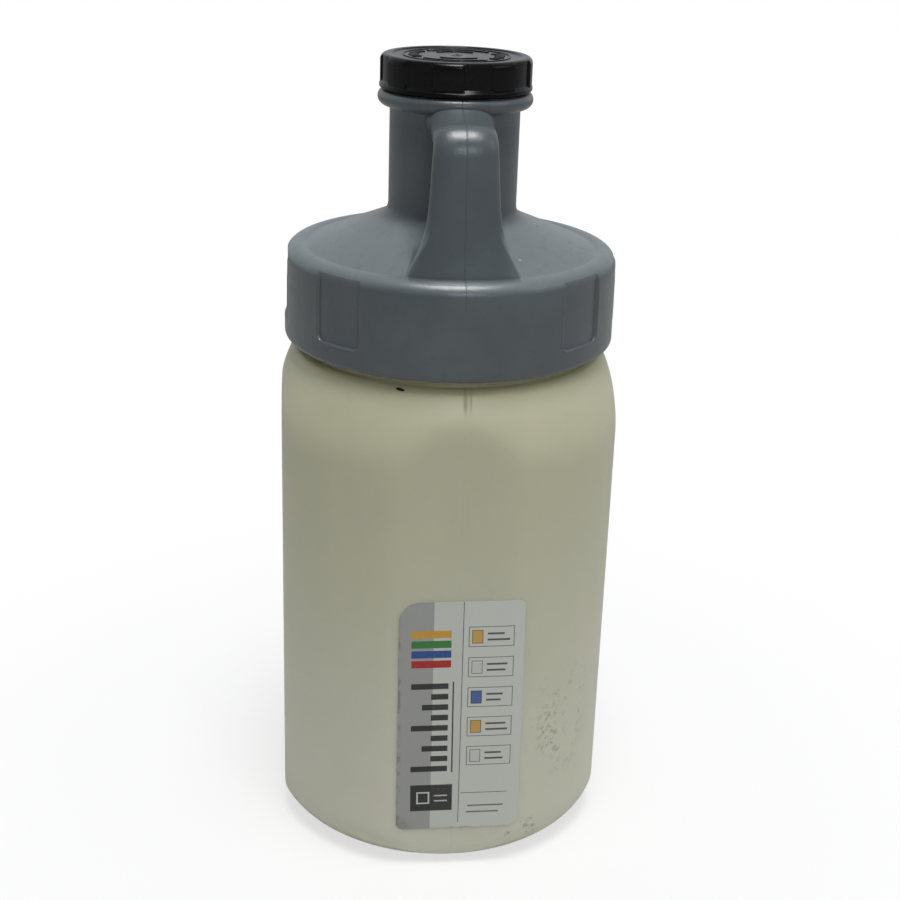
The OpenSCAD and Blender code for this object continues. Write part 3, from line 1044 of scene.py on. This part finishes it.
@dataclass
class Handle:
    """The hollow handle: a flattened oval from the spout round a bend and down to the cone."""

    reach: float = 55.0
    thick: float = 11.0
    bend_r: float = 6.5
    top_slope: float = 8.0
    lean: float = 6.3
    bend_z: float = 302.75
    spout_r: float = 26.5
    crown: float = 1.3
    ceiling_z: float = 256.25
    let_in: float = 1.5
    power: float = 2.6
    points: int = 48

    def section(self, r: float, z: float, heading: float, wide: float, thick: float,
                curl: float = 0.0) -> list[Vector]:
        """One section, square to the handle's path.

        Args:
            r: Distance of its middle from the axis.
            z: Height of its middle.
            heading: Direction of the path in degrees, 0 outwards and -90 down.
            wide: Width.
            thick: Thickness.
            curl: Share by which the section follows the spout's round wall.

        Returns:
            The section's points.
        """
        lean = math.radians(heading)
        points = []
        for i in range(self.points):
            a = math.tau * i / self.points
            ca, sa = math.cos(a), math.sin(a)
            u = wide / 2 * math.copysign(abs(ca) ** (2 / self.power), ca)
            v = thick / 2 * math.copysign(abs(sa) ** (2 / self.power), sa)
            back = curl * (self.spout_r - math.sqrt(max(1.0, self.spout_r ** 2 - u * u)))
            points.append(Vector((u, -(r - v * math.sin(lean) - back),
                                  z + v * math.cos(lean))) * MM)
        return points

    def width_at(self, z: float) -> float:
        """Width of the leg at a height."""
        stops = ((256.0, 50.0), (258.6, 46.2), (260.0, 44.2), (262.0, 41.6), (264.5, 38.8),
                 (267.5, 36.0), (271.0, 33.4), (274.5, 31.2), (278.0, 29.5), (282.0, 28.2),
                 (287.0, 27.3), (293.0, 26.6), (299.0, 26.0), (304.0, 25.4))
        return between(stops, z)

    def thick_at(self, z: float) -> float:
        """Thickness of the leg at a height."""
        stops = ((256.0, 19.0), (260.0, 17.0), (264.0, 14.8), (268.0, 13.4), (274.0, 12.2),
                 (282.0, 11.3), (290.0, 11.0))
        return between(stops, z)

    def build(self, roof: Callable[[float], float]) -> bpy.types.Object:
        """Makes the handle, its foot let into the roof.

        Args:
            roof: Height of the lid's outside at a distance from the axis.

        Returns:
            The closed handle.
        """
        slope, lean = math.radians(self.top_slope), math.radians(self.lean)
        middle = self.reach - self.bend_r - self.thick / 2
        run_r = middle + self.bend_r * math.sin(slope)
        run_z = self.bend_z + self.bend_r * math.cos(slope)
        rings = []
        # Top run, rising a little into the collar and flaring where it leaves the spout
        for r in (25.0, 26.4, 27.6, 28.8, 30.0, 31.0, 32.0, 33.2, 34.6, 36.0, 37.6, 39.4, 41.4):
            z = run_z + (run_r - r) * math.tan(slope)
            crown = self.crown + 1.2 * max(0.0, min(1.0, (36.0 - r) / 5.0)) ** 2
            spread = 1.5 * max(0.0, min(1.0, (31.8 - r) / 4.0)) ** 2
            rings.append(self.section(r, z + crown / 2, -self.top_slope, 24.7 + 2 * spread,
                                      self.thick + crown, 1 - ease((r - 26.0) / 9)))
        turn = 90 - self.top_slope - self.lean
        for i in range(1, 15):
            heading = -self.top_slope - turn * i / 15
            h = math.radians(heading)
            crown = self.crown * (1 - ease(i / 15))
            out = self.bend_r + crown / 2
            rings.append(self.section(
                middle - out * math.sin(h), self.bend_z + out * math.cos(h),
                heading, 24.7 + 0.7 * (i / 15) ** 1.5, self.thick + crown))
        start_r = middle + self.bend_r * math.cos(lean)
        start_z = self.bend_z + self.bend_r * math.sin(lean)
        length = (self.bend_z - self.ceiling_z + 1) / math.cos(lean)
        for i in range(41):
            down = length * i / 40
            r = start_r + down * math.sin(lean)
            z = start_z - down * math.cos(lean)
            thick = self.thick_at(z)
            # The leg thickens inwards, so its outer face stays in line
            r -= (thick - self.thick) * 0.32
            rings.append(self.section(r, z, self.lean - 90, self.width_at(z), thick))
        for ring in rings[-18:]:
            for place in ring:
                reach, _ = polar(place)
                place.z = max(place.z, (roof(reach) - self.let_in) * MM)
        return Modeller.lofted("handle", rings)


@dataclass
class Lid:
    """The lid: skirt, rolled rim, cone, spout, collar, mouthpiece and handle."""

    skirt_z: float = 219.95
    skirt_base_r: float = 69.4
    skirt_top_r: float = 69.0
    skirt_edge_r: float = 2.6
    bore_r: float = 65.8
    rim_r: float = 6.0
    rim_top: float = 259.45
    ceiling_z: float = 256.25
    ceiling_r: float = 58.92
    crease_r: float = 60.0
    crease_z: float = 259.05
    spout_foot: float = 272.65
    spout_r: float = 26.5
    spout_low: float = 276.2
    spout_high: float = 314.3
    seat_z: float = 322.55
    bore_spout_r: float = 23.7
    collar_z: float = 319.25
    collar_r: float = 31.5
    collar_edge_r: float = 3.3
    mouth_r: float = 25.7
    mouth_z: float = 332.65
    ridge_z: float = 246.65 - 4
    panel_half: float = 9.6
    panel_depth: float = 1.1
    panel_low: float = 228.6
    panel_corner: float = 3.2
    panel_edge: float = 0.8
    panels: tuple[int, ...] = (45, 90, 135, -45, -90, -135)
    columns: int = 384

    @property
    def cone_slope(self) -> float:
        """Rise of the cone for each millimetre towards the axis."""
        return (self.spout_foot - self.crease_z) / (self.crease_r - self.spout_r)

    def roof(self, r: float) -> float:
        """Height of the outside of the cone and rim at a distance from the axis."""
        if r <= self.crease_r:
            return self.crease_z + (self.crease_r - r) * self.cone_slope
        centre = self.skirt_top_r - self.rim_r
        rise = math.sqrt(max(0.0, self.rim_r ** 2 - (r - centre) ** 2))
        return self.rim_top - self.rim_r + rise

    def section(self) -> list[Pair]:
        """Closed section of the turned part of the lid."""
        edge = (self.skirt_base_r - self.skirt_edge_r, self.skirt_z + self.skirt_edge_r)
        line = arc(edge, self.skirt_edge_r, -90, 0, 8)
        centre = (self.skirt_top_r - self.rim_r, self.rim_top - self.rim_r)
        line += run(line[-1], (self.skirt_top_r, centre[1]), 26)
        # One ring lies where the panels' floor comes out through the rim
        floor_r = self.skirt_top_r - self.panel_depth
        cut = math.degrees(math.acos((floor_r - centre[0]) / self.rim_r))
        line += arc(centre, self.rim_r, 0, cut, 6)
        line += arc(centre, self.rim_r, cut, 112, 13)[1:]
        line += [(60.5, 258.90), (60.1, 258.92), (59.7, 259.07), (59.1, 259.36)]
        onward(line, (30.0, self.roof(30.0)), 7)
        line += [(28.4, self.roof(28.4) + 0.15), (27.3, 273.3), (26.75, 274.5),
                 (self.spout_r, self.spout_low)]
        onward(line, (self.spout_r, self.spout_high), 8)
        line += [(26.7, 315.3), (27.3, 315.95)]
        collar = (self.collar_r - self.collar_edge_r, self.collar_z)
        line += arc(collar, self.collar_edge_r, -82, 80, 14)
        line += [(27.9, self.seat_z), (self.mouth_r + 0.4, self.seat_z),
                 (self.mouth_r, self.seat_z + 0.35)]
        onward(line, (self.mouth_r, self.mouth_z - 0.6), 5)
        line += [(self.mouth_r - 0.5, self.mouth_z), (self.bore_spout_r + 0.5, self.mouth_z),
                 (self.bore_spout_r, self.mouth_z - 0.6)]
        foot = self.ceiling_z + (self.ceiling_r - self.bore_spout_r) * self.cone_slope
        onward(line, (self.bore_spout_r, foot), 8)
        onward(line, (self.ceiling_r, self.ceiling_z), 5)
        line += arc((self.bore_r - 3, self.ceiling_z - 3), 3, 90, 0, 5)
        line += run((self.bore_r, self.ceiling_z - 3), (self.bore_r, self.skirt_z + 0.8), 6)
        line += [(self.bore_r, self.skirt_z + 0.8), (self.bore_r + 0.5, self.skirt_z)]
        return line

    def panel_gap(self, place: Vector) -> float:
        """Distance of a point outside the nearest panel's outline, less than 0 inside it."""
        r, z = polar(place)
        if r < 66.5 or z < 224 or z > self.rim_top - 1.5:
            return 99.0
        angle = math.degrees(bearing(place))
        away = min((angle - p for p in self.panels), key=abs)
        half = math.radians(self.panel_half) * self.skirt_top_r
        across = abs(math.radians(away)) * self.skirt_top_r - (half - self.panel_corner)
        below = (self.panel_low + self.panel_corner) - z
        if across > 0 and below > 0:
            return math.hypot(across, below) - self.panel_corner
        return max(across, below) - self.panel_corner

    def press(self, place: Vector) -> Vector:
        """Moves a point of the skirt to where the recess panels leave it."""
        gap = self.panel_gap(place)
        if gap > 3:
            return place
        r, z = polar(place)
        share = (z - self.skirt_z) / (self.rim_top - self.rim_r - self.skirt_z)
        wall = self.skirt_base_r + (self.skirt_top_r - self.skirt_base_r) * min(1.0, share)
        floor = wall - self.panel_depth
        dent = 1 - ease((gap + self.panel_edge) / self.panel_edge)
        new_r = r - dent * (r - floor) if r > floor else r
        # A fine raised lip catches the light along the panel's lower edge
        lip = max(0.0, 1 - abs(gap - 0.45) / 0.6)
        new_r += 0.16 * ease(lip) * (1 - ease((z - 246) / 6))
        scale = min(new_r, self.skirt_base_r) / r
        return pulled(place, scale)

    def build(self) -> bpy.types.Object:
        """Makes the lid with its handle and threads."""
        shell = Modeller.turned("lid_shell", self.section(), self.columns)
        Modeller.refined(shell, lambda p: abs(self.panel_gap(p) + 0.2) < 2.0, 1)
        Modeller.refined(shell, lambda p: abs(self.panel_gap(p) + 0.2) < 1.15, 2)
        Modeller.moved(shell, self.press)
        Modeller.smoothed(shell, 27)
        handle = Handle().build(self.roof)
        Modeller.smoothed(handle, 60)
        inside = Thread(self.bore_r, Side.INSIDE, self.ridge_z, NECK_LEAD, 1.0, -70, *NECK_RIDGE)
        outside = Thread(self.mouth_r, Side.OUTSIDE, self.mouth_z - 2.2, SPOUT_LEAD, 1.25, 0,
                         *SPOUT_RIDGE)
        piece = Modeller.joined("lid_shell", [shell, handle, inside.build("skirt_ridge"),
                                              outside.build("mouth_ridge")])
        piece.data.materials.append(LidPlastic().build())
        return piece


@dataclass
class Cap:
    """The black screw cap: lobed wall, band, panelled top with plain raised marks."""

    low_z: float = 322.85
    top_z: float = 336.05
    wall_r: float = 30.6
    band_r: float = 30.9
    band_h: float = 1.8
    edge_r: float = 2.4
    bore_r: float = 28.0
    ceiling_z: float = 334.05
    ridge_z: float = 330.45 - 2
    grip_depth: float = 0.9
    lobes: int = 8
    panel_r: float = 26.0
    panel_depth: float = 0.5
    mark_h: float = 0.38
    columns: int = 480

    def section(self) -> list[Pair]:
        """Closed section of the cap."""
        band_top = self.low_z + self.band_h
        panel_z = self.top_z - self.panel_depth
        line = [(0.0, panel_z)]
        onward(line, (self.panel_r - 0.5, panel_z), 20)
        line += [(self.panel_r - 0.1, panel_z + 0.12),
                 (self.panel_r + 0.1, self.top_z - 0.1), (self.panel_r + 0.5, self.top_z)]
        line += arc((self.wall_r - self.edge_r, self.top_z - self.edge_r), self.edge_r, 90, 0, 9)
        line += run((self.wall_r, self.top_z - self.edge_r), (self.wall_r, band_top), 8)
        line += [(self.wall_r, band_top + 0.16), (self.wall_r + 0.04, band_top),
                 (self.band_r - 0.2, band_top - 0.04), (self.band_r, band_top - 0.3),
                 (self.band_r, self.low_z + 0.4), (self.band_r - 0.35, self.low_z),
                 (self.bore_r + 0.3, self.low_z), (self.bore_r, self.low_z + 0.4)]
        onward(line, (self.bore_r, self.ceiling_z), 6)
        onward(line, (0.0, self.ceiling_z), 6)
        return line

    def press(self, place: Vector) -> Vector:
        """Moves a point of the wall to where the grips leave it."""
        r, z = polar(place)
        if r < 28.25 or z < self.low_z + self.band_h + 0.1:
            return place
        pitch = 360 / self.lobes
        angle = math.degrees(bearing(place)) % pitch
        # Degrees inside the grip, which spans the first half of each pitch
        inside = min(angle, pitch / 2 - angle)
        dent = ease((inside + 0.5) / 1.2)
        rise = ease((z - self.low_z - self.band_h - 0.1) / 0.35)
        new_r = min(r, self.wall_r - self.grip_depth * dent * rise) if z < self.top_z - 0.05 else r
        scale = new_r / r
        return pulled(place, scale)

    def raised(self, name: str, radius: float, wide: float, start: float, stop: float,
               arrow: bool = False) -> bpy.types.Object:
        """A raised arc on the top panel, with an arrow head if asked.

        Args:
            name: Name of the new piece.
            radius: Radius of its middle line.
            wide: Width.
            start: First angle from -Y in degrees.
            stop: Last angle.
            arrow: Whether the arc ends in an arrow head.

        Returns:
            The closed arc.
        """
        low = self.top_z - self.panel_depth - 0.2
        spans = max(6, round(abs(stop - start) / 3))
        stops = [(start + (stop - start) * i / spans, wide) for i in range(spans + 1)]
        if arrow:
            way = math.copysign(1.0, stop - start)
            stops += [(stop + way * 0.2, wide * 3.0), (stop + way * 9, wide * 0.25)]
        rings = []
        for angle, width in stops:
            a = math.radians(angle)
            top = self.top_z - self.panel_depth + self.mark_h
            section = [(-0.5, low), (0.5, low), (0.42, top), (-0.42, top)]
            rings.append([
                Vector(((radius + s * width) * math.sin(a), -(radius + s * width) * math.cos(a), z))
                * MM for s, z in section])
        piece = Modeller.lofted(name, rings)
        Modeller.modified(piece, "BEVEL", width=0.1 * MM, segments=2, limit_method="ANGLE",
                          angle_limit=math.radians(50))
        Modeller.smoothed(piece, 40)
        return piece

    def marks(self) -> list[bpy.types.Object]:
        """Plain raised marks on the top: a ring, two turning arrows, ticks and a gate mark."""
        panel_z = self.top_z - self.panel_depth
        ring = Modeller.turned("ring", [(21.2, panel_z - 0.2), (21.9, panel_z - 0.2),
                                        (21.8, panel_z + 0.3), (21.3, panel_z + 0.3)], 160)
        nub = Modeller.turned("nub", [(0.0, panel_z - 0.2), (2.6, panel_z - 0.2),
                                      (2.4, panel_z + 0.1), (1.2, panel_z + 0.25),
                                      (0.9, panel_z + 0.45), (0.0, panel_z + 0.5)], 40)
        parts = [ring, nub,
                 self.raised("arrow", 17.4, 1.5, -52, 30, arrow=True),
                 self.raised("arrow", 17.4, 1.5, 128, 210, arrow=True),
                 self.raised("bow", 11.2, 1.2, -40, 40), self.raised("bow", 11.2, 1.2, 140, 220)]
        for i in range(10):
            middle, wide = 52 + i * 6.4, 3.4 if i % 3 else 4.6
            parts.append(self.raised("tick", 17.4, wide, middle - 0.9, middle + 0.9))
            parts.append(self.raised("tick", 17.4, wide, middle + 179, middle + 181))
        for part in parts[:2]:
            Modeller.smoothed(part, 40)
        return parts

    def build(self) -> bpy.types.Object:
        """Makes the cap."""
        wall = Modeller.turned("cap_shell", self.section(), self.columns)
        Modeller.moved(wall, self.press)
        Modeller.smoothed(wall, 40)
        inside = Thread(self.bore_r, Side.INSIDE, self.ridge_z, SPOUT_LEAD, 0.75, 180, *SPOUT_RIDGE)
        piece = Modeller.joined("cap_shell", [wall, inside.build("cap_ridge"), *self.marks()])
        piece.data.materials.append(CapPlastic().build())
        return piece


@dataclass
class Studio:
    """Pale floor, soft lamps and the camera at the photograph's place."""

    eye: Triple = (-0.059295, -0.622281, 0.409355)
    right: Triple = (0.995752, -0.086954, 0.030296)
    up: Triple = (0.003447, 0.363978, 0.931401)
    ahead: Triple = (0.092016, 0.927340, -0.362731)
    focal_px: float = 1522.8
    frame_px: float = 900.0

    def camera(self) -> None:
        """Adds the camera."""
        lens = bpy.data.cameras.new("view")
        lens.sensor_width = 36.0
        lens.lens = self.focal_px * 36.0 / self.frame_px
        lens.clip_start = 0.01
        seen = bpy.data.objects.new("view", lens)
        bpy.context.scene.collection.objects.link(seen)
        axes = Matrix((self.right, self.up, tuple(-a for a in self.ahead))).transposed()
        seen.matrix_world = Matrix.Translation(self.eye) @ axes.to_4x4()
        bpy.context.scene.camera = seen

    def lamp(self, name: str, place: Triple, aim: Triple, size: Pair, power: float,
             tint: Triple = (1.0, 1.0, 1.0)) -> None:
        """Adds a soft rectangular lamp.

        Args:
            name: Name of the lamp.
            place: Where it hangs.
            aim: Point that it faces.
            size: Width and height in metres.
            power: Power in watts.
            tint: Colour of the light.
        """
        light = bpy.data.lights.new(name, "AREA")
        light.shape = "RECTANGLE"
        light.size, light.size_y = size
        light.energy = power
        light.color = tint
        lamp = bpy.data.objects.new(name, light)
        bpy.context.scene.collection.objects.link(lamp)
        lamp.location = place
        lamp.rotation_euler = (Vector(aim) - Vector(place)).to_track_quat("-Z", "Y").to_euler()

    def floor(self) -> None:
        """Adds the pale floor, which keeps the jug's shadow."""
        Modeller.deselect()
        bpy.ops.mesh.primitive_plane_add(size=8.0, location=(0, 0, -0.0004))
        floor = bpy.context.object
        floor.name = floor.data.name = "floor"
        g = Graph("pale_floor")
        path = g.node("ShaderNodeLightPath")
        straight = Sock(g, path.outputs["Is Camera Ray"])
        material = g.finish(g.mix((0.54, 0.54, 0.52), (0.8, 0.8, 0.8), straight), 0.9,
                            Specular_IOR_Level=0.1)
        distance = g.math("SQRT", g.x * g.x + g.y * g.y)
        far = g.step(distance, 0.07, 0.34)
        white = g.node("ShaderNodeEmission", Color=(1.0, 1.0, 1.0), Strength=1.0)
        seen = straight * (far * 0.35 + 0.65)
        blend = g.node("ShaderNodeMixShader", Fac=seen)
        g.tree.links.new(g.shader.outputs[0], blend.inputs[1])
        g.tree.links.new(white.outputs[0], blend.inputs[2])
        out = next(n for n in g.tree.nodes if n.type == "OUTPUT_MATERIAL")
        g.tree.links.new(blend.outputs[0], out.inputs["Surface"])
        floor.data.materials.append(material)

    def world(self) -> None:
        """Sets the soft surrounding light, white where the camera sees it."""
        world = bpy.data.worlds.new("studio")
        bpy.context.scene.world = world
        world.use_nodes = True
        tree = world.node_tree
        tree.nodes.clear()

        def node(kind: str, **values: object) -> bpy.types.Node:
            """Adds a node with values by the socket's name, with _ for a space."""
            made = tree.nodes.new(kind)
            for key, value in values.items():
                made.inputs[key.replace("_", " ")].default_value = value
            return made

        # The wall behind the jug is pale and the room in front of it is dim
        course, parts = node("ShaderNodeTexCoord"), node("ShaderNodeSeparateXYZ")
        level = node("ShaderNodeMapRange", From_Min=-0.3, From_Max=0.8, To_Min=0.12, To_Max=0.6)
        level.interpolation_type = "SMOOTHSTEP"
        soft = node("ShaderNodeBackground", Color=(0.93, 0.96, 1.0, 1.0))
        white = node("ShaderNodeBackground", Color=(1.0, 1.0, 1.0, 1.0), Strength=1.0)
        path, blend = node("ShaderNodeLightPath"), node("ShaderNodeMixShader")
        out = node("ShaderNodeOutputWorld")
        for source, target in (
                (course.outputs["Generated"], parts.inputs[0]),
                (parts.outputs["Y"], level.inputs["Value"]),
                (level.outputs["Result"], soft.inputs["Strength"]),
                (path.outputs["Is Camera Ray"], blend.inputs[0]),
                (soft.outputs[0], blend.inputs[1]),
                (white.outputs[0], blend.inputs[2]),
                (blend.outputs[0], out.inputs["Surface"])):
            tree.links.new(source, target)

    def build(self) -> None:
        """Sets the stage."""
        self.camera()
        self.floor()
        self.world()
        self.lamp("ceiling", (0.08, -0.65, 3.15), (0, 0, 0.22), (1.2, 1.3), 82.0)
        self.lamp("window", (0.23, -2.22, 1.35), (0, 0, 0.2), (0.45, 0.35), 6.5, (0.85, 0.93, 1.0))
        self.lamp("side", (1.54, -0.56, 1.35), (0, 0, 0.15), (0.9, 0.9), 2.8)
        bpy.context.scene.view_settings.view_transform = "Standard"


def place_piece(piece: bpy.types.Object, body: Body,
                nodes: Sequence[str] = ()) -> None:
    """Lets a piece ride on a body, hides the nodes that it replaces and logs its triangles.

    Args:
        piece: The finished piece.
        body: Body that carries it.
        nodes: Nodes of the frame that it replaces.
    """
    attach(piece, body.value)
    if nodes:
        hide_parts(*nodes)
    piece.data.calc_loop_triangles()
    LOG.info("%s rides on %s, %d triangles", piece.name, body.value,
             len(piece.data.loop_triangles))


def dress(node: bpy.types.Object, material: bpy.types.Material) -> None:
    """Gives a node of the frame a new finish in all its slots."""
    if not node.material_slots:
        node.data.materials.append(material)
    for slot in node.material_slots:
        slot.material = material


def main() -> None:
    """Builds the jug's looks, piece by piece."""
    logging.basicConfig(level=logging.INFO, format="%(name)s: %(message)s")
    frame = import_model()
    Studio().build()
    drum = Drum()
    place_piece(drum.build(), Body.DRUM, ["drum"])
    place_piece(Label(drum).build(), Body.DRUM, ["label"])
    place_piece(Lid().build(), Body.LID, ["lid"])
    place_piece(Cap().build(), Body.CAP, ["cap"])
    dress(frame["nodes"]["lid_seal"],
          RubberSeal("black_ring_seal", shade(38, 38, 38), shade(60, 59, 57)).build())
    dress(frame["nodes"]["cap_liner"],
          RubberSeal("white_foam_liner", shade(214, 212, 204), shade(196, 192, 178)).build())


if __name__ == "__main__":
    main()
